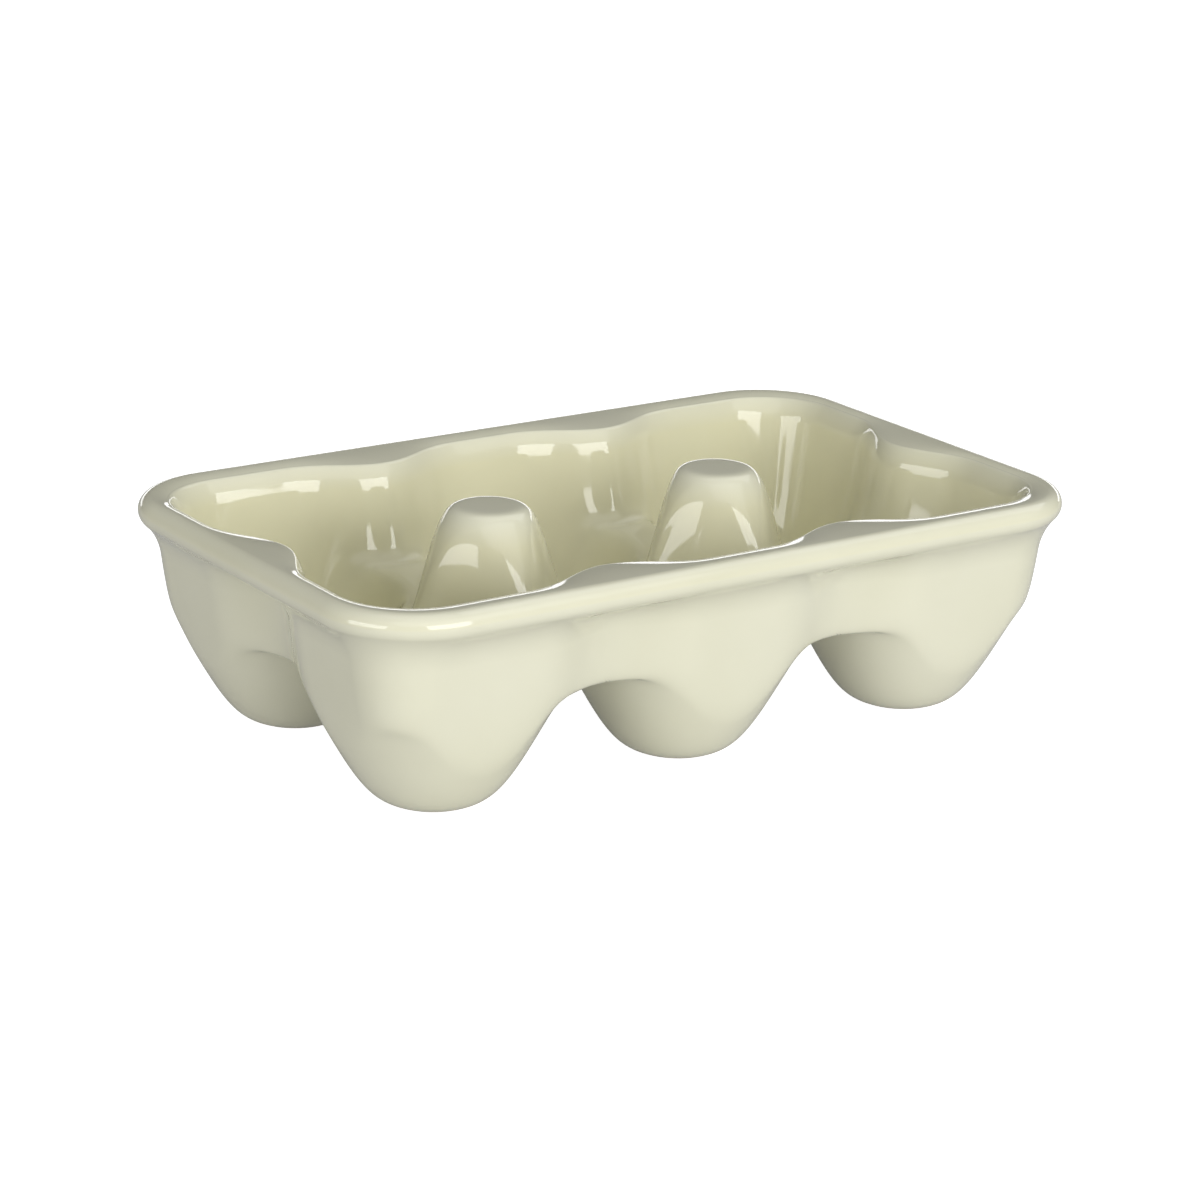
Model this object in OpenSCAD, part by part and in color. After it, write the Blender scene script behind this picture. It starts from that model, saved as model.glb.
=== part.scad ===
// Six-egg holder tray: one slip-cast, glazed pottery shell.
// The shell lies between two skins, an outer one underneath and an inner one on top.
// Each skin is a height field: cups, webs, posts and walls joined by smooth maxima and minima.
// The shell is drawn as named regions that meet face to face: rim, wall, six cups and two posts.
// Six bare clay feet close the cups' undersides. All lengths are in millimetres, and the tray
// stands on z = 0, centred on the Z axis, with its length along X.

/* [Tray] */
// Overall length along X, over the rim
length = 205; // [203:1:208]
// Overall width along Y, over the rim
width = 131; // [129:1:134]
// Height of the rim above the table
height = 56; // [54:1:60]
// Thickness of the pottery
thickness = 4.5; // [4:0.25:5]

/* [Rim] */
// Height of the rounded bead round the rim
bead = 7; // [6:0.5:8]
// Corner radius of the rim in plan
rim_corner = 24; // [22:1:28]
// Distance from the outside of the bead in to the inner wall, at the two long sides
lip_inset_side = 9.9; // [9:0.1:10.5]
// Distance from the outside of the bead in to the inner wall, at the two ends
lip_inset_end = 7.9; // [7.5:0.1:9]
// How far the inner wall flares out at the lip
lip_flare = 1.9; // [0:0.1:2.2]
// How far the lip bows in between two cups
lobe = 8; // [5:0.5:9]
// Half the width of one bow of the lip
lobe_reach = 26; // [24:0.5:28]

/* [Wall] */
// Distance from the outside of the bead in to the top of the outer wall
wall_inset = 5.4; // [4.5:0.1:5.6]
// Rise of the outer wall for each unit that it leans out
wall_slope = 8; // [7:0.5:10]
// Rise of the inner wall for each unit that it leans out
lip_slope = 6; // [5:0.5:8]
// Depth of the outer valley between two cups
valley = 6; // [3:0.5:7]
// Half the width of one valley
valley_reach = 24; // [22:0.5:28]

/* [Cups] */
// Distance between cup centres along X
pitch_x = 68; // [66:0.5:69]
// Distance between cup centres along Y
pitch_y = 65; // [63:0.5:66]
// Rise of a cup's flank for each unit of radius
flank_slope = 1.85; // [1.7:0.05:2]
// Radius at which a straight flank would reach the table
flank_root = 15; // [14:0.5:16]
// Height of the underside of the webs between the cups
web = 27; // [24:1:28]

/* [Feet] */
// Thickness of the bare clay under each cup
foot_t = 1; // [0.8:0.1:1.4]

/* [Posts] */
// Distance of each post from the middle of the tray
post_x = 33.2; // [32.5:0.1:34]
// Height of the two posts above the table
post_h = 57; // [54:1:60]
// Radius of a post's cone at the height of its crown
post_r = 9.3; // [9:0.1:9.8]
// Fall of a post's side for each unit of radius
post_slope = 2.1; // [2:0.05:2.4]
// How much higher the post's round crown would reach, if it weren't cut flat
post_crown = 2; // [1.5:0.1:3]
// How deeply the four cups round a post hollow its sides
post_hollow = 0.14; // [0:0.01:0.16]
// Distance from a cup's axis within which it hollows a post
hollow_reach = 37.1; // [36:0.1:37.4]

/* [Hidden] */
// Blend lengths, measured along Z: the larger, the rounder the join
toe_blend = 19;
cup_blend = 12;
web_blend = 6;
post_top_blend = 2.5;
post_crown_blend = 15;
post_base_blend = 6.5;
outer_wall_blend = 18;
inner_wall_blend = 30;

// Corner radii of the two walls in plan
wall_corner = 16;
lip_corner = 17;
// The outer wall would end just under the bead
wall_top = height - 9;
// Fall of the land between the crest of the bead and the lip, and the lip's rounding
lip_drop = 0.6;
lip_round = 0.7;
// Depth of the inner wall's flare below the top
flare_depth = 6.5;
// Height at which the groove under the bead turns into the wall
knee_z = height - 10;

// Heights at which the regions are parted, and the radius round each post
rim_z = height - 15;
cup_z = height - 21;
post_ring = 22;

// Mesh steps along each stretch of the plan, and rows across each skin
half_side_steps = 8;
end_side_steps = 9;
corner_steps = 6;
end_steps = 9;
saddle_steps = 5;
mid_steps = 4;
arc_steps = 5;
outer_rows = 10;
inner_rows = 9;
post_rows = 10;
centre_r = 3;
// Above 1, this crowds the rows of a cup towards its edge, where the skin is steepest
row_crowding = 1.6;
halvings = 26;
search_reach = 26;

half_l = length / 2;
half_w = width / 2;
cup_y = -pitch_y / 2;
// The inner skin's cone stands this much closer to its axis, for an even thickness
function side_step(slope) = thickness * (sqrt(1 + 1 / (slope * slope)) - 1 / slope);
// Radius at which the toe of a cup's flank has risen by foot_t
foot_r = flank_root + (pow(6 * toe_blend * toe_blend * foot_t, 1 / 3) - toe_blend) / flank_slope;
foot_round = 10;

glaze = [0.85, 0.85, 0.76];
clay = [0.87, 0.83, 0.76];

// ---- Smooth joins ----

// The greater of a and b, rounded where they differ by less than k
function smooth_max(a, b, k) = max(a, b) + pow(max(k - abs(a - b), 0), 3) / (6 * k * k);
function smooth_min(a, b, k) = -smooth_max(-a, -b, k);
// One smooth hump of height 1 between u = -1 and u = 1
function hump(u) = abs(u) < 1 ? pow(1 - u * u, 3) : 0;
function mix(a, b, f) = a + (b - a) * f;
function reversed(list) = [for (i = [len(list) - 1:-1:0]) list[i]];

// ---- The two skins as height fields ----

// Height of one round cup at a distance r from its axis
function cup_height(r, root) = smooth_max(0, flank_slope * (r - root), toe_blend);

// Height of the two cups, front and back, that stand at x = centre_x
function cup_pair(x, y, centre_x, root) = smooth_min(
    cup_height(norm([x - centre_x, y - cup_y]), root),
    cup_height(norm([x - centre_x, y + cup_y]), root),
    cup_blend);

// Cups and the webs between them
function cups_height(x, y, root) = smooth_min(
    smooth_min(cup_pair(abs(x), y, 0, root), cup_pair(abs(x), y, pitch_x, root), cup_blend),
    web, web_blend);

// How much the two cups at x = centre_x take off the radius of a post beside them
function hollow_by(x, y, centre_x, reach) = post_hollow * (
    pow(max(reach - norm([x - centre_x, y - cup_y]), 0), 2)
    + pow(max(reach - norm([x - centre_x, y + cup_y]), 0), 2));

// The nearer post: a round-crowned cone, cut flat and hollowed on its four sides by the cups
function post_height(x, y, top, r, reach) =
    let (
        taken = hollow_by(abs(x), y, 0, reach) + hollow_by(abs(x), y, pitch_x, reach),
        away = norm([abs(x) - post_x, y]),
        crown = top + post_crown,
        cone = crown - post_slope * (away + taken - r)
    )
    smooth_min(top, smooth_min(crown, cone, post_crown_blend), post_top_blend);

// Distance in plan from a rounded rectangle's edge, positive inside.
// inset is that of the ends and that of the sides. bow draws the edge in between the cups,
// and reach is half the width of each bow.
function plan_inset(x, y, inset, corner, bow, reach) =
    let (
        dx = half_l - inset[0] - abs(x) - bow * hump(y / reach),
        dy = half_w - inset[1] - abs(y) - bow * hump((abs(x) - post_x) / reach)
    )
    corner - norm([max(corner - dx, 0), max(corner - dy, 0)]) + max(min(dx, dy) - corner, 0);

function outer_skin(x, y) = smooth_max(
    smooth_max(
        cups_height(x, y, flank_root),
        post_height(
            x, y, post_h - thickness, post_r - side_step(post_slope), hollow_reach + thickness),
        post_base_blend),
    wall_top - wall_slope * plan_inset(
        x, y, [wall_inset, wall_inset], wall_corner, valley, valley_reach),
    outer_wall_blend);

function inner_skin(x, y) = smooth_max(
    smooth_max(
        cups_height(x, y, flank_root - side_step(flank_slope)) + thickness,
        post_height(x, y, post_h, post_r, hollow_reach),
        post_base_blend),
    height - lip_slope * plan_inset(
        x, y, [lip_inset_end, lip_inset_side], lip_corner, lobe, lobe_reach),
    inner_wall_blend);

function skin(outer, x, y) = outer ? outer_skin(x, y) : inner_skin(x, y);

// ---- Columns round the rim: [point on the bead's outline, outward direction] ----

function front_columns(x_from, x_to, steps) =
    [for (i = [0:steps - 1]) [[mix(x_from, x_to, i / steps), -half_w], [0, -1]]];

function corner_columns() =
    let (centre = [rim_corner - half_l, rim_corner - half_w])
    [for (i = [0:corner_steps - 1])
        let (a = 270 - 90 * i / corner_steps, out = [cos(a), sin(a)])
        [centre + rim_corner * out, out]];

function end_columns() =
    [for (i = [0:end_steps]) [[-half_l, mix(rim_corner - half_w, 0, i / end_steps)], [-1, 0]]];

// Front left quarter, from the middle of the front round to the middle of the left end
function middle_quarter() = front_columns(0, -post_x, half_side_steps);
function corner_quarter() = concat(
    front_columns(-post_x, rim_corner - half_l, end_side_steps), corner_columns(), end_columns());

function flipped(column, flip) = [
    [column[0].x * flip.x, column[0].y * flip.y],
    [column[1].x * flip.x, column[1].y * flip.y]];

// The whole way round; each quarter leaves out the column that the next one starts with
function all_columns() =
    let (
        quarter = concat(middle_quarter(), corner_quarter()),
        last = len(quarter) - 1
    )
    concat(
        [for (i = [0:last - 1]) quarter[i]],
        [for (i = [last:-1:1]) flipped(quarter[i], [1, -1])],
        [for (i = [0:last - 1]) flipped(quarter[i], [-1, -1])],
        [for (i = [last:-1:1]) flipped(quarter[i], [-1, 1])]);

// Distance in from the bead at which a skin reaches height z, found by halving the interval
function inset_at(column, outer, z, near = 0, far = search_reach, left = halvings) =
    let (mid = (near + far) / 2, p = column[0] - column[1] * mid)
    left == 0 ? mid :
        skin(outer, p.x, p.y) > z
            ? inset_at(column, outer, z, mid, far, left - 1)
            : inset_at(column, outer, z, near, mid, left - 1);

function place(column, inset, z) = let (p = column[0] - column[1] * inset) [p.x, p.y, z];
function skin_at(column, outer, z) = place(column, inset_at(column, outer, z), z);

// ---- Sections of the wall and of the rim on one column ----

function wall_section(column) =
    let (steps = 3)
    concat(
        [for (i = [0:steps]) skin_at(column, true, mix(cup_z, rim_z, i / steps))],
        [for (i = [steps:-1:0]) skin_at(column, false, mix(cup_z, rim_z, i / steps))]);

// The inner wall's inset at height z, with its flare at the lip
function flared_at(column, z) =
    inset_at(column, false, z)
    - lip_flare * pow(max(z - height + flare_depth, 0) / flare_depth, 2);

function rim_section(column) =
    let (
        r = bead / 2,
        bead_z = height - r,
        // The outer wall's point at rim_z, and how far it leans out for each unit above there
        start = [inset_at(column, true, rim_z), rim_z],
        lean = start.x - inset_at(column, true, rim_z + 1),
        // The groove's knee, and the angle round the bead of the tangent from there
        knee = [start.x - lean * (knee_z - rim_z), knee_z],
        away = knee - [r, bead_z],
        bead_end = atan2(-away.y, -away.x) - acos(r / norm(away)),
        end = [r - r * cos(bead_end), bead_z - r * sin(bead_end)],
        // Where the knee's fillet ends: as far from the knee as it starts, but short of the bead
        turned = mix(knee, end, min(norm(knee - start) / norm(end - knee), 0.9)),
        lip_z = height - lip_drop - lip_round,
        lip = flared_at(column, lip_z),
        groove_steps = 4,
        bead_steps = 9,
        inner_steps = 5
    )
    concat(
        [for (i = [0:groove_steps])
            let (f = i / groove_steps, p = mix(mix(start, knee, f), mix(knee, turned, f), f))
            place(column, p.x, p.y)],
        [for (i = [0:bead_steps])
            let (a = mix(-bead_end, 90, i / bead_steps))
            place(column, r - r * cos(a), bead_z + r * sin(a))],
        [place(column, lip - lip_round * 1.3, height - lip_drop)],
        [place(column, lip - lip_round * 0.5, height - lip_drop - lip_round * 0.3)],
        [for (i = [0:inner_steps])
            let (z = mix(lip_z, rim_z, i / inner_steps))
            place(column, flared_at(column, z), z)]);

// ---- Stations: [point on the outer skin, point on the inner skin] of a cup's or post's edge ----

function plan_station(x, y) = [[x, y, outer_skin(x, y)], [x, y, inner_skin(x, y)]];
function wall_station(column) = [skin_at(column, true, cup_z), skin_at(column, false, cup_z)];

// Stations on the straight line from the post's ring out to a wall station, leaving out its end
function saddle_stations(from, wall_end) =
    [for (i = [0:saddle_steps - 1])
        let (
            f = i / saddle_steps,
            a = mix(from, [wall_end[0].x, wall_end[0].y], f),
            b = mix(from, [wall_end[1].x, wall_end[1].y], f)
        )
        [[a.x, a.y, outer_skin(a.x, a.y)], [b.x, b.y, inner_skin(b.x, b.y)]]];

// Stations round a post at x = centre_x, leaving out the last
function arc_stations(centre_x, a_from, a_to) =
    [for (i = [0:arc_steps - 1])
        let (a = mix(a_from, a_to, i / arc_steps))
        plan_station(centre_x + post_ring * cos(a), post_ring * sin(a))];

function mirrored(stations) =
    [for (s = reversed(stations)) [[-s[0].x, s[0].y, s[0].z], [-s[1].x, s[1].y, s[1].z]]];

// Edge of the front left cup, clockwise from above
function corner_cup_edge() =
    let (
        walls = [for (c = corner_quarter()) wall_station(c)],
        front = saddle_stations([-post_x, -post_ring], walls[0]),
        side = saddle_stations([-post_x - post_ring, 0], walls[len(walls) - 1])
    )
    concat(
        front,
        walls,
        [for (i = [len(side) - 1:-1:1]) side[i]],
        arc_stations(-post_x, 180, 270));

// Edge of the front middle cup: its left half from the middle of the wall, and the same mirrored
function middle_cup_edge() =
    let (
        walls = [for (c = middle_quarter()) wall_station(c)],
        corner = wall_station(corner_quarter()[0]),
        saddle = saddle_stations([-post_x, -post_ring], corner),
        arc = reversed(arc_stations(-post_x, 0, -90)),
        half_gap = post_x - post_ring,
        left = concat(
            walls,
            [corner],
            reversed(saddle),
            arc,
            [for (i = [1:mid_steps]) plan_station(mix(-half_gap, 0, i / mid_steps), 0)])
    )
    concat(left, [for (i = [1:len(left) - 2]) mirrored(left)[i]]);

function post_edge() = concat(
    arc_stations(-post_x, 270, 180), arc_stations(-post_x, 180, 90),
    arc_stations(-post_x, 90, 0), arc_stations(-post_x, 0, -90));

// ---- Solids ----

// Two triangles for each cell between neighbouring rows of equal length
function band_faces(rows, columns, closed) =
    [for (i = [0:rows - (closed ? 1 : 2)], j = [0:columns - 1])
        let (
            a = i * columns,
            b = (i + 1) % rows * columns,
            k = (j + 1) % columns
        )
        each [[a + j, b + k, b + j], [a + j, a + k, b + k]]];

// Solid whose skin runs through the rows and back to the first one
module ring_solid(rows) {
    polyhedron(
        points = [for (row = rows) each row],
        faces = band_faces(len(rows), len(rows[0]), true),
        convexity = 10);
}

// Solid whose skin runs through the rows, with a flat cap on the first and on the last
module capped_solid(rows) {
    n = len(rows[0]);
    last = (len(rows) - 1) * n;
    polyhedron(
        points = [for (row = rows) each row],
        faces = concat(
            band_faces(len(rows), n, false),
            [[for (j = [n - 1:-1:0]) j]],
            [[for (j = [0:n - 1]) last + j]]),
        convexity = 10);
}

// Rows of one skin, from a ring of radius r round the centre out to the edge.
// ring_z is the ring's height, or undef to leave it on the skin.
function skin_rows(centre, edge, outer, r, ring_z, count) =
    let (side = outer ? 0 : 1)
    [for (i = [0:count])
        [for (s = edge)
            let (
                goal = s[side],
                away = [goal.x, goal.y] - centre,
                start = centre + away / norm(away) * r,
                f = 1 - pow(1 - i / count, row_crowding),
                p = mix(start, [goal.x, goal.y], f)
            )
            i == count ? goal :
                [p.x, p.y, i == 0 && ring_z != undef ? ring_z : skin(outer, p.x, p.y)]]];

module shell_region(centre, edge, outer_r, ring_z, outer_count, inner_count) {
    color(glaze)
        capped_solid(concat(
            skin_rows(centre, edge, true, outer_r, ring_z, outer_count),
            reversed(skin_rows(centre, edge, false, centre_r, undef, inner_count))));
}

module corner_cup() {
    shell_region([-pitch_x, cup_y], corner_cup_edge(), foot_r, foot_t, outer_rows, inner_rows);
}

module middle_cup() {
    shell_region([0, cup_y], middle_cup_edge(), foot_r, foot_t, outer_rows, inner_rows);
}

module post() {
    shell_region([-post_x, 0], post_edge(), centre_r, undef, post_rows, post_rows);
}

// Bare clay under a cup: a flat disc whose edge rounds up to the glaze
module foot(x, y) {
    flat_r = foot_r - sqrt(foot_round * foot_round - pow(foot_round - foot_t, 2));
    end_angle = acos(1 - foot_t / foot_round);
    arc = [for (i = [0:5]) let (a = end_angle * i / 5)
        [flat_r + foot_round * sin(a), foot_round * (1 - cos(a))]];
    color(clay)
        translate([x, y, 0])
            rotate_extrude($fn = 96)
                polygon(concat([[0, 0]], arc, [[0, foot_t]]));
}

module rim() {
    sections = [for (c = all_columns()) rim_section(c)];
    color(glaze)
        ring_solid([for (i = [0:len(sections[0]) - 1]) [for (s = sections) s[i]]]);
}

module wall() {
    sections = [for (c = all_columns()) wall_section(c)];
    color(glaze)
        ring_solid([for (i = [0:len(sections[0]) - 1]) [for (s = sections) s[i]]]);
}

rim();
wall();
corner_cup();  // cup_front_left
middle_cup();  // cup_front_middle
mirror([1, 0, 0]) corner_cup();  // cup_front_right
mirror([0, 1, 0]) corner_cup();  // cup_back_left
mirror([0, 1, 0]) middle_cup();  // cup_back_middle
rotate([0, 0, 180]) corner_cup();  // cup_back_right
post();  // post_left
mirror([1, 0, 0]) post();  // post_right
foot(-pitch_x, cup_y);  // foot_front_left
foot(0, cup_y);  // foot_front_middle
foot(pitch_x, cup_y);  // foot_front_right
foot(-pitch_x, -cup_y);  // foot_back_left
foot(0, -cup_y);  // foot_back_middle
foot(pitch_x, -cup_y);  // foot_back_right
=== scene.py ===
"""Looks of the egg holder tray: a glazed pottery shell in its regions, bare clay feet and a studio.

The shell lies between two skins, an outer one underneath and an inner one on top. Each skin is
a height field of cups, webs, posts and walls, the same as the CAD solids have, sampled finely
here with its true normals. Shapes are worked out in millimetres and made in metres.
"""
import math

import bpy
import numpy as np
from mathutils import Matrix, Vector


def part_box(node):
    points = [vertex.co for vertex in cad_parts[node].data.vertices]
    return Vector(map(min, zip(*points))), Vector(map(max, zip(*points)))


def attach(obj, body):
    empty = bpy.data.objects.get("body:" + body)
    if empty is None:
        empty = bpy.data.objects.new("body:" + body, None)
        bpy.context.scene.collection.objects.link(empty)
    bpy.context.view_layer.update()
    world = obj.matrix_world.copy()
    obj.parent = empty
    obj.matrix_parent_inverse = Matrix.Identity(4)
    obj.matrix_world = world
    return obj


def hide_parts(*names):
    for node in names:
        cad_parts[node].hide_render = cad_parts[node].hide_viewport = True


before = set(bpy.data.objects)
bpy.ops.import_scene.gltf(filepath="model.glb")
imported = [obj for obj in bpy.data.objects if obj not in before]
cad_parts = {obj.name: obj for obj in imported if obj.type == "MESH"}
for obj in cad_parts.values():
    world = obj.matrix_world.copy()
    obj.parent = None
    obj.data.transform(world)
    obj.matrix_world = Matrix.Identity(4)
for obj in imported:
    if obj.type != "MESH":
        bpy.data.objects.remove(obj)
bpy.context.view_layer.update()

MM = 0.001


def low(node):
    return np.array(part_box(node)[0]) / MM


def high(node):
    return np.array(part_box(node)[1]) / MM


# ---- Sizes from the frame, in millimetres ----
HALF_L, HALF_W, HEIGHT = high("rim")
RIM_Z = low("rim")[2]
CUP_Z = low("wall")[2]
PITCH_X = (low("foot_front_right") + high("foot_front_right"))[0] / 2
CUP_Y = (low("foot_front_right") + high("foot_front_right"))[1] / 2
FOOT_R = (high("foot_front_right") - low("foot_front_right"))[0] / 2
POST_H = high("post_right")[2]
POST_RING = (high("post_right") - low("post_right"))[0] / 2
POST_X = (low("post_right") + high("post_right"))[0] / 2

# ---- Shape of the skins, as in the CAD model, in millimetres ----
THICKNESS = 4.5
BEAD_R = 3.5
RIM_CORNER = 24
LIP_INSETS = 7.9, 9.9  # at the ends and at the long sides
LIP_SLOPE = 6
LIP_FLARE = 1.9
FLARE_DEPTH = 6.5
LOBE = 8
LOBE_REACH = 26
WALL_INSETS = 5.4, 5.4
WALL_SLOPE = 8
VALLEY = 6
VALLEY_REACH = 24
FLANK_SLOPE = 1.85
FLANK_ROOT = 15
WEB = 27
POST_R = 9.3
POST_SLOPE = 2.1
POST_CROWN = 2
POST_HOLLOW = 0.14
HOLLOW_REACH = 37.1
TOE_BLEND = 19
CUP_BLEND = 12
WEB_BLEND = 6
POST_TOP_BLEND = 2.5
POST_CROWN_BLEND = 15
POST_BASE_BLEND = 6.5
OUTER_WALL_BLEND = 18
INNER_WALL_BLEND = 30
WALL_CORNER = 16
LIP_CORNER = 17
WALL_TOP = HEIGHT - 9
LIP_DROP = 0.6
LIP_ROUND = 0.7
KNEE_Z = HEIGHT - 10  # where the groove under the bead turns into the wall

# ---- How finely the meshes are made ----
DEEPEST_INSET = 26.0  # no skin is further in than this at a height where it is looked for
TRACK_STEPS = 600  # for measuring along a skin
TIP_R = 0.5  # the ring round the middle of a cup's or post's tip
SADDLE_STEPS = 28
SKIN_STEPS = 56
WALL_STEPS = 12
SLOPE_STEP = 0.01  # how far to either side a slope is measured
LEAN_STEP = 0.1  # the same for the lean of the wall at the rim, measured more broadly


# ---- The two skins as height fields ----

def smooth_max(a, b, k):
    """The greater of a and b, rounded where they differ by less than k."""
    return np.maximum(a, b) + np.maximum(k - np.abs(a - b), 0) ** 3 / (6 * k * k)


def smooth_min(a, b, k):
    return -smooth_max(-a, -b, k)


def hump(u):
    """One smooth hump of height 1 between u = -1 and u = 1."""
    return np.maximum(1 - u * u, 0) ** 3


def side_step(slope):
    """How much closer to its axis a cone's inner face stands, for an even thickness."""
    return THICKNESS * (math.sqrt(1 + 1 / slope ** 2) - 1 / slope)


def cups_height(x, y, root):
    """Six round cups and the webs between them."""
    pairs = []
    for centre_x in (0, PITCH_X):
        near, far = [
            smooth_max(0, FLANK_SLOPE * (np.hypot(np.abs(x) - centre_x, y - cy) - root), TOE_BLEND)
            for cy in (CUP_Y, -CUP_Y)
        ]
        pairs.append(smooth_min(near, far, CUP_BLEND))
    return smooth_min(smooth_min(*pairs, CUP_BLEND), WEB, WEB_BLEND)


def post_height(x, y, top, radius, reach):
    """The nearer post: a round-crowned cone, cut flat and hollowed on its four sides by the cups."""
    taken = sum(
        np.maximum(reach - np.hypot(np.abs(x) - centre_x, y - centre_y), 0) ** 2
        for centre_x in (0, PITCH_X) for centre_y in (CUP_Y, -CUP_Y))
    away = np.hypot(np.abs(x) - POST_X, y) + POST_HOLLOW * taken
    crown = top + POST_CROWN
    cone = crown - POST_SLOPE * (away - radius)
    return smooth_min(top, smooth_min(crown, cone, POST_CROWN_BLEND), POST_TOP_BLEND)


def plan_inset(x, y, insets, corner, bow, reach):
    """Distance in plan from a rounded rectangle's edge that bows in between the cups."""
    dx = HALF_L - insets[0] - np.abs(x) - bow * hump(y / reach)
    dy = HALF_W - insets[1] - np.abs(y) - bow * hump((np.abs(x) - POST_X) / reach)
    beyond = np.hypot(np.maximum(corner - dx, 0), np.maximum(corner - dy, 0))
    return corner - beyond + np.maximum(np.minimum(dx, dy) - corner, 0)


def outer_skin(x, y):
    cups = cups_height(x, y, FLANK_ROOT)
    post = post_height(
        x, y, POST_H - THICKNESS, POST_R - side_step(POST_SLOPE), HOLLOW_REACH + THICKNESS)
    inset = plan_inset(x, y, WALL_INSETS, WALL_CORNER, VALLEY, VALLEY_REACH)
    inside = smooth_max(cups, post, POST_BASE_BLEND)
    return smooth_max(inside, WALL_TOP - WALL_SLOPE * inset, OUTER_WALL_BLEND)


def inner_skin(x, y):
    cups = cups_height(x, y, FLANK_ROOT - side_step(FLANK_SLOPE)) + THICKNESS
    post = post_height(x, y, POST_H, POST_R, HOLLOW_REACH)
    inset = plan_inset(x, y, LIP_INSETS, LIP_CORNER, LOBE, LOBE_REACH)
    inside = smooth_max(cups, post, POST_BASE_BLEND)
    return smooth_max(inside, HEIGHT - LIP_SLOPE * inset, INNER_WALL_BLEND)


SIGN = {outer_skin: -1, inner_skin: 1}  # the way that each skin's normals point, up or down


def skin_normals(skin, points):
    """Unit normals of a skin at points on it, from its slope."""
    x, y = points[..., 0], points[..., 1]
    e = SLOPE_STEP
    slope_x = (skin(x + e, y) - skin(x - e, y)) / (2 * e)
    slope_y = (skin(x, y + e) - skin(x, y - e)) / (2 * e)
    n = np.stack([-slope_x, -slope_y, np.ones_like(x)], axis=-1) * SIGN[skin]
    return n / np.linalg.norm(n, axis=-1, keepdims=True)


# ---- Columns round the rim ----

def spread(a, b, steps):
    """steps values from a towards b, leaving out b."""
    return a + (b - a) * np.arange(steps) / steps


def front_columns(x_from, x_to, steps):
    x = spread(x_from, x_to, steps)
    return np.stack([x, np.full(steps, -HALF_W), np.zeros(steps), np.full(steps, -1.0)], axis=1)


def corner_columns(steps):
    angle = np.radians(spread(270, 180, steps))
    out = np.stack([np.cos(angle), np.sin(angle)], axis=1)
    centre = np.array([RIM_CORNER - HALF_L, RIM_CORNER - HALF_W])
    return np.hstack([centre + RIM_CORNER * out, out])


def end_columns(steps):
    y = np.linspace(RIM_CORNER - HALF_W, 0, steps + 1)
    return np.stack([np.full_like(y, -HALF_L), y, np.full_like(y, -1.0), np.zeros_like(y)], axis=1)


# Each column is [x, y, outward x, outward y] on the bead's outline, front left quarter first
middle_quarter = front_columns(0, -POST_X, 44)
corner_quarter = np.vstack([
    front_columns(-POST_X, RIM_CORNER - HALF_L, 56), corner_columns(36), end_columns(52)])
quarter = np.vstack([middle_quarter, corner_quarter])
columns = np.vstack([
    quarter[:-1],
    quarter[:0:-1] * [1, -1, 1, -1],
    quarter[:-1] * -1,
    quarter[:0:-1] * [-1, 1, -1, 1]])


def place(cols, inset, z):
    """Points at a distance in from the bead's outline, at height z."""
    inset = np.broadcast_to(inset, len(cols))
    return np.column_stack([cols[:, :2] - cols[:, 2:] * inset[:, None], np.broadcast_to(z, len(cols))])


def inset_at(cols, skin, z):
    """Distance in from the bead at which a skin reaches height z, by halving the interval."""
    near, far = np.zeros(len(cols)), np.full(len(cols), DEEPEST_INSET)
    for _ in range(40):
        mid = (near + far) / 2
        p = place(cols, mid, z)
        above = skin(p[:, 0], p[:, 1]) > z
        near, far = np.where(above, mid, near), np.where(above, far, mid)
    return (near + far) / 2


def skin_at(cols, skin, z):
    return place(cols, inset_at(cols, skin, z), z)


# ---- Patches: (rows of points, rows of normals) ----

def wall_patch(skin, z_from, z_to, steps):
    points = np.stack([skin_at(columns, skin, z) for z in np.linspace(z_from, z_to, steps + 1)])
    return points, skin_normals(skin, points)


def cut_patch(first, last):
    """The flat face where two regions meet, between two rows of points."""
    across = last - first
    along = np.roll(first, -1, axis=0) - np.roll(first, 1, axis=0)
    n = np.cross(across, along)
    n /= np.maximum(np.linalg.norm(n, axis=-1, keepdims=True), 1e-9)
    return np.stack([first, last]), np.stack([n, n])


def bezier(a, b, c, steps):
    """Points and directions along a curve from a by way of b to c, each [inset, z] for each column."""
    f = np.linspace(0, 1, steps + 1)[:, None, None]
    points = (1 - f) ** 2 * a + 2 * f * (1 - f) * b + f ** 2 * c
    return points, (1 - f) * (b - a) + f * (c - b)


def swept_patch(points, directions):
    """A patch from [inset, z] points and directions, swept round the columns."""
    spots = np.stack([place(columns, row[:, 0], row[:, 1]) for row in points])
    outward = np.column_stack([columns[:, 2:], np.zeros(len(columns))])
    up = np.array([0, 0, 1.0])
    u = -outward * directions[..., :1] + up * directions[..., 1:]
    ahead = np.roll(spots, -1, axis=1) - spots
    behind = spots - np.roll(spots, 1, axis=1)
    v = ahead / np.sum(ahead ** 2, -1, keepdims=True) + behind / np.sum(behind ** 2, -1, keepdims=True)
    n = np.cross(u, v)
    return spots, n / np.linalg.norm(n, axis=-1, keepdims=True)


def pair(inset, z):
    """[inset, z] for each column."""
    return np.column_stack([np.broadcast_to(inset, len(columns)), np.broadcast_to(z, len(columns))])


def flared_at(z):
    """The inner wall's inset at height z, with its flare at the lip."""
    up = max(z - HEIGHT + FLARE_DEPTH, 0) / FLARE_DEPTH
    return inset_at(columns, inner_skin, z) - LIP_FLARE * up ** 2


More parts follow.
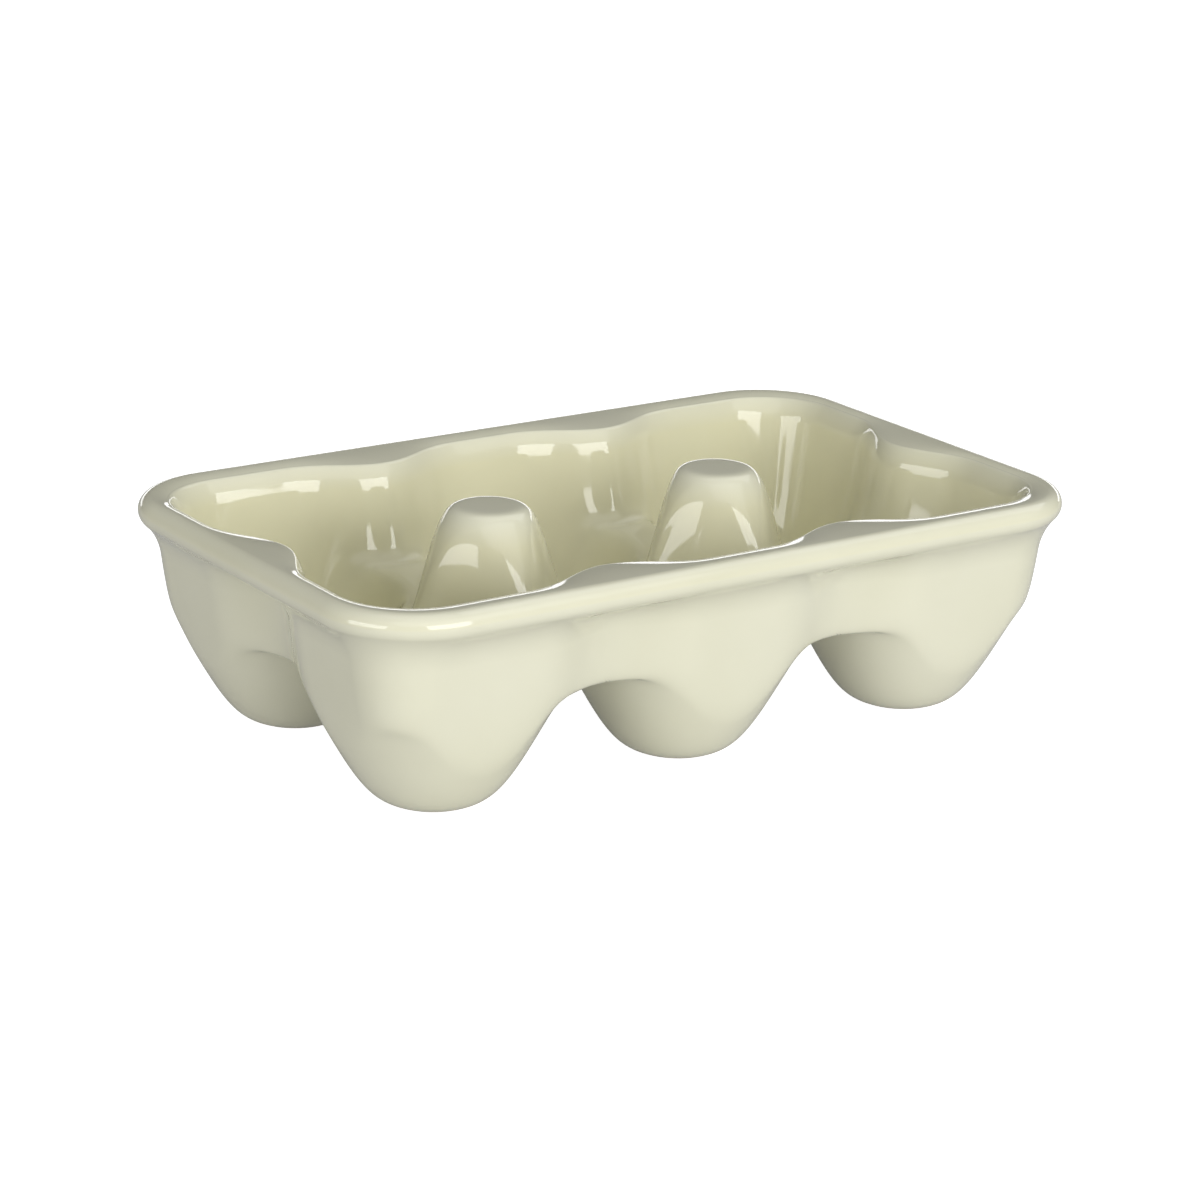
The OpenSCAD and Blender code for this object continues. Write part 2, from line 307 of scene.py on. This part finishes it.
def rim_patches():
    """Up the groove, round the bead, over the land and the lip, and down the inner wall."""
    bead_z = HEIGHT - BEAD_R
    wall_at = inset_at(columns, outer_skin, RIM_Z)
    below_rim = inset_at(columns, outer_skin, RIM_Z - LEAN_STEP)
    above_rim = inset_at(columns, outer_skin, RIM_Z + LEAN_STEP)
    lean = (below_rim - above_rim) / (2 * LEAN_STEP)
    knee_at = wall_at - (KNEE_Z - RIM_Z) * lean
    aside, below = knee_at - BEAD_R, bead_z - KNEE_Z
    bead_end = np.arctan2(below, -aside) - np.arccos(BEAD_R / np.hypot(aside, below))
    ones = np.ones(len(columns))
    angle = np.linspace(-bead_end, math.pi / 2 * ones, 37)
    bead = np.stack([BEAD_R - BEAD_R * np.cos(angle), bead_z + BEAD_R * np.sin(angle)], -1)
    turn = np.stack([np.sin(angle), np.cos(angle)], -1)
    start, knee = pair(wall_at, RIM_Z), pair(knee_at, KNEE_Z)
    reach = np.linalg.norm(knee - start, axis=1) / np.linalg.norm(bead[0] - knee, axis=1)
    turned = knee + (bead[0] - knee) * np.minimum(reach, 0.9)[:, None]
    groove = bezier(start, knee, turned, 20)
    f = np.linspace(0, 1, 9)[:, None, None]
    straight = turned + (bead[0] - turned) * f, (bead[0] - turned) * np.ones_like(f)

    lip_z = HEIGHT - LIP_DROP - LIP_ROUND
    heights = np.linspace(lip_z, RIM_Z, 31)
    inner = np.stack([pair(flared_at(z), z) for z in heights])
    leans = [(flared_at(z - SLOPE_STEP) - flared_at(z + SLOPE_STEP)) / (2 * SLOPE_STEP) for z in heights]
    inner_run = np.stack([pair(inner_lean, -1) for inner_lean in leans])
    lip_at, lip_lean = inner[0, :, 0], inner_run[0, :, 0]
    corner_at = lip_at - LIP_ROUND * lip_lean
    land_end = corner_at - LIP_ROUND
    f = np.linspace(0, 1, 13)[:, None]
    run = land_end - BEAD_R
    drop = LIP_DROP * f ** 2
    land = np.stack([BEAD_R + f * run, HEIGHT - drop * ones], -1)
    fall = np.stack([run * np.ones_like(f), -2 * LIP_DROP * f * ones], -1)
    land_z = HEIGHT - LIP_DROP
    lip = bezier(pair(land_end, land_z), pair(corner_at, land_z), pair(lip_at, lip_z), 10)
    runs = [groove, straight, (bead, turn), (land, fall), lip, (inner, inner_run)]
    return [swept_patch(points, directions) for points, directions in runs]


# ---- Edges of the cups and posts, as points on the two skins ----

def on_skin(skin, plan):
    return np.column_stack([plan, skin(plan[:, 0], plan[:, 1])])


def even_steps(track, steps):
    """Fractions of the way along a track of points that cut its length into even steps."""
    length = np.append(0, np.cumsum(np.linalg.norm(np.diff(track, axis=0), axis=-1)))
    return np.interp(np.linspace(0, length[-1], steps + 1), length, np.linspace(0, 1, len(track)))


def saddle(skin, start, wall_end, steps):
    """Points of the straight saddle from a post's ring out to the wall, leaving out its end."""
    def along(f):
        return on_skin(skin, start + (wall_end[:2] - start) * f[:, None])
    return along(even_steps(along(np.linspace(0, 1, TRACK_STEPS)), steps)[:-1])


def arc(skin, centre_x, a_from, a_to, steps=24):
    """Points round a post, leaving out the last."""
    angle = np.radians(spread(a_from, a_to, steps))
    return on_skin(skin, np.column_stack([
        centre_x + POST_RING * np.cos(angle), POST_RING * np.sin(angle)]))


def corner_cup_edge(skin):
    walls = skin_at(corner_quarter, skin, CUP_Z)
    front = saddle(skin, (-POST_X, -POST_RING), walls[0], SADDLE_STEPS)
    side = saddle(skin, (-POST_X - POST_RING, 0), walls[-1], SADDLE_STEPS)
    return np.vstack([front, walls, side[:0:-1], arc(skin, -POST_X, 180, 270)])


def middle_cup_edge(skin):
    walls = skin_at(middle_quarter, skin, CUP_Z)
    corner = skin_at(corner_quarter[:1], skin, CUP_Z)
    lead = saddle(skin, (-POST_X, -POST_RING), corner[0], SADDLE_STEPS)
    x = np.linspace(POST_RING - POST_X, 0, 21)[1:]
    gap = on_skin(skin, np.column_stack([x, np.zeros_like(x)]))
    left = np.vstack([walls, corner, lead[::-1], arc(skin, -POST_X, 0, -90)[::-1], gap])
    return np.vstack([left, left[-2:0:-1] * [-1, 1, 1]])


def post_edge(skin):
    return np.vstack([arc(skin, -POST_X, a, a - 90) for a in (270, 180, 90, 0)])


def skin_patch(skin, centre, edge, radius, steps):
    """A skin from a ring round the centre out to the edge, in even steps along each column."""
    away = edge[:, :2] - centre
    start = centre + away / np.linalg.norm(away, axis=1, keepdims=True) * radius
    fine = np.linspace(0, 1, TRACK_STEPS)[:, None, None]
    plan = start + (edge[:, :2] - start) * fine
    track = np.concatenate([plan, skin(plan[..., 0], plan[..., 1])[..., None]], axis=-1)
    f = np.stack([even_steps(track[:, j], steps) for j in range(len(edge))], axis=1)[..., None]
    plan = start + (edge[:, :2] - start) * f
    points = np.concatenate([plan, skin(plan[..., 0], plan[..., 1])[..., None]], axis=-1)
    points[-1] = edge
    return points, skin_normals(skin, points)


# ---- Meshes ----

def make_mesh(name, patches, closed, flip=(1, 1)):
    """One closed mesh from patches that each start on the row where the last one ended.

    A closed one runs back to its first row. An open one gets a point in the middle of its first
    and last rows. flip mirrors the mesh in X and Y.
    """
    mirror = np.array([flip[0], flip[1], 1])
    rows = np.concatenate([patches[0][0]] + [p[1:] for p, _ in patches[1:]]) * mirror
    first = np.concatenate([n[:-1] for _, n in patches]) * mirror
    last = np.concatenate([n[1:] for _, n in patches]) * mirror
    if closed:
        rows = rows[:-1]
    count, wide = rows.shape[:2]
    index = np.arange(count * wide).reshape(count, wide)
    below = index if closed else index[:-1]
    above = np.roll(index, -1, axis=0) if closed else index[1:]
    quads = np.stack([below, np.roll(below, -1, 1), np.roll(above, -1, 1), above], -1).reshape(-1, 4)
    normals = np.stack([first, np.roll(first, -1, 1), np.roll(last, -1, 1), last], -2).reshape(-1, 4, 3)
    points = rows.reshape(-1, 3)
    edges = points[quads]
    facing = np.cross(edges[:, 2] - edges[:, 0], edges[:, 3] - edges[:, 1])
    outward = np.sum(facing * normals.sum(axis=1)) > 0
    if not outward:
        quads, normals = quads[:, ::-1], normals[:, ::-1]
    faces = [tuple(q) for q in quads.tolist()]
    corners = [normals.reshape(-1, 3)]
    if not closed:
        for row, normal, forward in ((0, first[0], outward), (count - 1, last[-1], not outward)):
            middle = len(points)
            points = np.vstack([points, rows[row].mean(axis=0)])
            ring = index[row]
            after = np.roll(ring, -1)
            up = np.tile(normal.mean(axis=0), (wide, 1))
            if forward:
                faces += [(middle, b, a) for a, b in zip(ring.tolist(), after.tolist())]
                corners.append(np.stack([up, np.roll(normal, -1, 0), normal], 1).reshape(-1, 3))
            else:
                faces += [(middle, a, b) for a, b in zip(ring.tolist(), after.tolist())]
                corners.append(np.stack([up, normal, np.roll(normal, -1, 0)], 1).reshape(-1, 3))
    mesh = bpy.data.meshes.new(name)
    mesh.from_pydata((points * MM).tolist(), [], faces)
    mesh.shade_smooth()
    mesh.normals_split_custom_set(np.vstack(corners).tolist())
    piece = bpy.data.objects.new(name, mesh)
    bpy.context.scene.collection.objects.link(piece)
    return piece


def shell_patches(centre, edge_of, outer_r, steps):
    """Outer skin from its centre out, the cut faces at the edge, and the inner skin back in."""
    centre = np.array(centre)
    outer = skin_patch(outer_skin, centre, edge_of(outer_skin), outer_r, steps)
    inner = skin_patch(inner_skin, centre, edge_of(inner_skin), TIP_R, steps)
    inner = inner[0][::-1], inner[1][::-1]
    return [outer, cut_patch(outer[0][-1], inner[0][0]), inner]


# ---- Materials ----

def new_material(name):
    material = bpy.data.materials.new(name)
    material.use_nodes = True
    tree = material.node_tree
    return material, tree, tree.nodes["Principled BSDF"]


def ramp(tree, source, stops):
    """A colour ramp over a source value, from stops of (position, colour)."""
    node = tree.nodes.new("ShaderNodeValToRGB")
    for element, (position, colour) in zip(node.color_ramp.elements, stops):
        element.position = position
        element.color = (*colour, 1)
    tree.links.new(source, node.inputs["Fac"])
    return node.outputs["Color"]


def glaze_material():
    """Glossy pale celadon cream glaze, faintly clouded, with painted bounce light: a warmer, deeper tint
    on the up-facing faces inside the tray.
    """
    material, tree, shader = new_material("celadon_cream_glaze")
    place_at = tree.nodes.new("ShaderNodeTexCoord")
    cloud = tree.nodes.new("ShaderNodeTexNoise")
    cloud.inputs["Scale"].default_value = 22
    cloud.inputs["Detail"].default_value = 3
    tree.links.new(place_at.outputs["Object"], cloud.inputs["Vector"])
    # The glaze's own colour, faintly clouded
    glaze_tint = ramp(tree, cloud.outputs["Fac"], ((0.3, (0.71, 0.70, 0.54)), (0.7, (0.745, 0.735, 0.585))))
    # Painted bounce light: a warmer, more saturated tint for the inside of the tray
    bounce_tint = ramp(tree, cloud.outputs["Fac"], ((0.3, (0.72, 0.70, 0.49)), (0.7, (0.77, 0.745, 0.53))))

    # Painted bounce light: the deeper, warmer tint goes on the faces that look up, below the height of
    # the lip, standing in for light bounced round inside the tray
    black, white = (0, 0, 0), (1, 1, 1)
    facing = tree.nodes.new("ShaderNodeSeparateXYZ")
    tree.links.new(place_at.outputs["Normal"], facing.inputs["Vector"])
    upward = ramp(tree, facing.outputs["Z"], ((0.0, black), (0.12, white)))
    height = tree.nodes.new("ShaderNodeSeparateXYZ")
    tree.links.new(place_at.outputs["Object"], height.inputs["Vector"])
    level = tree.nodes.new("ShaderNodeMapRange")
    level.inputs["From Min"].default_value = (HEIGHT - LIP_DROP) * MM
    level.inputs["From Max"].default_value = (HEIGHT - FLARE_DEPTH) * MM
    tree.links.new(height.outputs["Z"], level.inputs["Value"])
    # Where the painted bounce light goes: up-facing faces below the lip
    bounce_mask = tree.nodes.new("ShaderNodeMath")
    bounce_mask.operation = "MULTIPLY"
    tree.links.new(upward, bounce_mask.inputs[0])
    tree.links.new(level.outputs["Result"], bounce_mask.inputs[1])
    tint = tree.nodes.new("ShaderNodeMix")
    tint.data_type = "RGBA"
    tree.links.new(bounce_mask.outputs["Value"], tint.inputs["Factor"])
    tree.links.new(glaze_tint, tint.inputs["A"])
    tree.links.new(bounce_tint, tint.inputs["B"])
    tree.links.new(tint.outputs["Result"], shader.inputs["Base Color"])
    shader.inputs["Roughness"].default_value = 0.06
    shader.inputs["IOR"].default_value = 1.45
    shader.inputs["Coat Weight"].default_value = 0.3
    shader.inputs["Coat Roughness"].default_value = 0.03
    return material


def clay_material():
    """Bare fired clay: matt, warm and finely grained."""
    material, tree, shader = new_material("bare_stoneware_clay")
    place_at = tree.nodes.new("ShaderNodeTexCoord")
    grain = tree.nodes.new("ShaderNodeTexNoise")
    grain.inputs["Scale"].default_value = 900
    grain.inputs["Detail"].default_value = 6
    tree.links.new(place_at.outputs["Object"], grain.inputs["Vector"])
    tint = ramp(tree, grain.outputs["Fac"], ((0.35, (0.42, 0.35, 0.26)), (0.65, (0.62, 0.54, 0.42))))
    tree.links.new(tint, shader.inputs["Base Color"])
    bump = tree.nodes.new("ShaderNodeBump")
    bump.inputs["Strength"].default_value = 0.4
    bump.inputs["Distance"].default_value = 0.0002
    tree.links.new(grain.outputs["Fac"], bump.inputs["Height"])
    tree.links.new(bump.outputs["Normal"], shader.inputs["Normal"])
    shader.inputs["Roughness"].default_value = 0.85
    return material


# ---- The camera: the photograph's viewing angle ----

def set_camera():
    azimuth, elevation, roll = math.radians(-33.86), math.radians(17.94), math.radians(1.035)
    distance, aside, above = 0.8837, -0.0007, 0.0263
    back = Vector((
        math.sin(azimuth) * math.cos(elevation), -math.cos(azimuth) * math.cos(elevation),
        math.sin(elevation)))
    right = (-back).cross(Vector((0, 0, 1))).normalized()
    up = right.cross(-back)
    turned_right = right * math.cos(roll) + up * math.sin(roll)
    turned_up = up * math.cos(roll) - right * math.sin(roll)
    data = bpy.data.cameras.new("camera")
    data.lens = 106.9
    data.sensor_width = 36
    camera = bpy.data.objects.new("camera", data)
    bpy.context.scene.collection.objects.link(camera)
    place_at = Matrix((turned_right, turned_up, back)).transposed().to_4x4()
    place_at.translation = back * distance + right * aside + up * above
    camera.matrix_world = place_at
    bpy.context.scene.camera = camera


# ---- The studio ----

# Each lamp: name, azimuth, elevation, distance, width, height and power. They were set until the
# shading and reflections looked like the photograph's.
LAMPS = (
    ("front_window", 4, 15, 1.6, 1.3, 0.8, 17),
    ("front_room", -6, 46, 1.6, 2.4, 1.0, 6.5),
    ("left_window", -80, 7, 1.6, 1.2, 0.8, 12),
    ("right_fill", 90, 50, 1.6, 1.0, 1.0, 3.5),
    ("top_fill", 0, 89, 1.6, 1.2, 1.2, 3.5),
    ("back_horizon", 146, 5, 1.6, 2.6, 0.22, 3.6),
)
# Strengths of the white surroundings, as the camera sees them and as they light the tray
FLOOR_SEEN, FLOOR_CAST = 1.0, 0.12
WORLD_SEEN, WORLD_CAST = 1.0, 0.1


def softbox(name, azimuth, elevation, distance, width, height, power):
    """An area light that faces the tray, unseen itself. Azimuth 0 is in front, 90 at its right."""
    a, e = math.radians(azimuth), math.radians(elevation)
    away = Vector((math.sin(a) * math.cos(e), -math.cos(a) * math.cos(e), math.sin(e)))
    data = bpy.data.lights.new(name, "AREA")
    data.shape = "RECTANGLE"
    data.size, data.size_y = width, height
    data.energy = power
    light = bpy.data.objects.new(name, data)
    light.location = away * distance
    light.rotation_mode = "QUATERNION"
    light.rotation_quaternion = away.to_track_quat("Z", "Y")
    light.visible_camera = False
    bpy.context.scene.collection.objects.link(light)


def camera_switch(tree):
    """A node whose value is 1 where the camera looks straight at the surface, and 0 elsewhere."""
    return tree.nodes.new("ShaderNodeLightPath").outputs["Is Camera Ray"]


def backdrop_strength(tree, socket, seen, cast):
    """Sets an emission socket to one strength for the camera and another for the light it casts."""
    level = tree.nodes.new("ShaderNodeMix")
    level.data_type = "FLOAT"
    level.inputs["A"].default_value = cast
    level.inputs["B"].default_value = seen
    tree.links.new(camera_switch(tree), level.inputs["Factor"])
    tree.links.new(level.outputs["Result"], socket)


def set_studio():
    side = 6.0
    mesh = bpy.data.meshes.new("floor")
    corners = [(-side, -side, 0), (side, -side, 0), (side, side, 0), (-side, side, 0)]
    mesh.from_pydata(corners, [], [(0, 1, 2, 3)])
    floor = bpy.data.objects.new("floor", mesh)
    bpy.context.scene.collection.objects.link(floor)
    material, tree, shader = new_material("white_sweep")
    shader.inputs["Base Color"].default_value = (0.5, 0.5, 0.5, 1)
    shader.inputs["Roughness"].default_value = 0.9
    shader.inputs["Emission Color"].default_value = (1, 1, 1, 1)
    backdrop_strength(tree, shader.inputs["Emission Strength"], FLOOR_SEEN, FLOOR_CAST)
    mesh.materials.append(material)

    world = bpy.data.worlds.new("studio")
    world.use_nodes = True
    background = world.node_tree.nodes["Background"]
    background.inputs["Color"].default_value = (1, 1, 1, 1)
    backdrop_strength(world.node_tree, background.inputs["Strength"], WORLD_SEEN, WORLD_CAST)
    bpy.context.scene.world = world
    bpy.context.scene.view_settings.view_transform = "Standard"
    for lamp in LAMPS:
        softbox(*lamp)


# ---- The pieces ----
glaze = glaze_material()
clay = clay_material()


def finish_piece(piece, node, material):
    piece.data.materials.append(material)
    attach(piece, "root")
    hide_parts(node)


rim = rim_patches()
rim_cut = cut_patch(rim[-1][0][-1], rim[0][0][0])
finish_piece(make_mesh("glazed_rim", rim + [rim_cut], True), "rim", glaze)

outside = wall_patch(outer_skin, CUP_Z, RIM_Z, WALL_STEPS)
inside = wall_patch(inner_skin, RIM_Z, CUP_Z, WALL_STEPS)
wall_cuts = cut_patch(outside[0][-1], inside[0][0]), cut_patch(inside[0][-1], outside[0][0])
wall = [outside, wall_cuts[0], inside, wall_cuts[1]]
finish_piece(make_mesh("glazed_wall", wall, True), "wall", glaze)

corner_cup = shell_patches((-PITCH_X, CUP_Y), corner_cup_edge, FOOT_R, SKIN_STEPS)
middle_cup = shell_patches((0, CUP_Y), middle_cup_edge, FOOT_R, SKIN_STEPS)
post = shell_patches((-POST_X, 0), post_edge, TIP_R, SKIN_STEPS)
cups = ("left", corner_cup, 1), ("middle", middle_cup, 1), ("right", corner_cup, -1)
for y_name, y_flip in (("front", 1), ("back", -1)):
    for x_name, patches, x_flip in cups:
        name = f"cup_{y_name}_{x_name}"
        piece = make_mesh("glazed_" + name, patches, False, (x_flip, y_flip))
        finish_piece(piece, name, glaze)
for x_name, x_flip in (("left", 1), ("right", -1)):
    piece = make_mesh(f"glazed_post_{x_name}", post, False, (x_flip, 1))
    finish_piece(piece, "post_" + x_name, glaze)
for name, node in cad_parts.items():
    if name.startswith("foot_"):
        node.data.materials.clear()
        node.data.materials.append(clay)

set_camera()
set_studio()
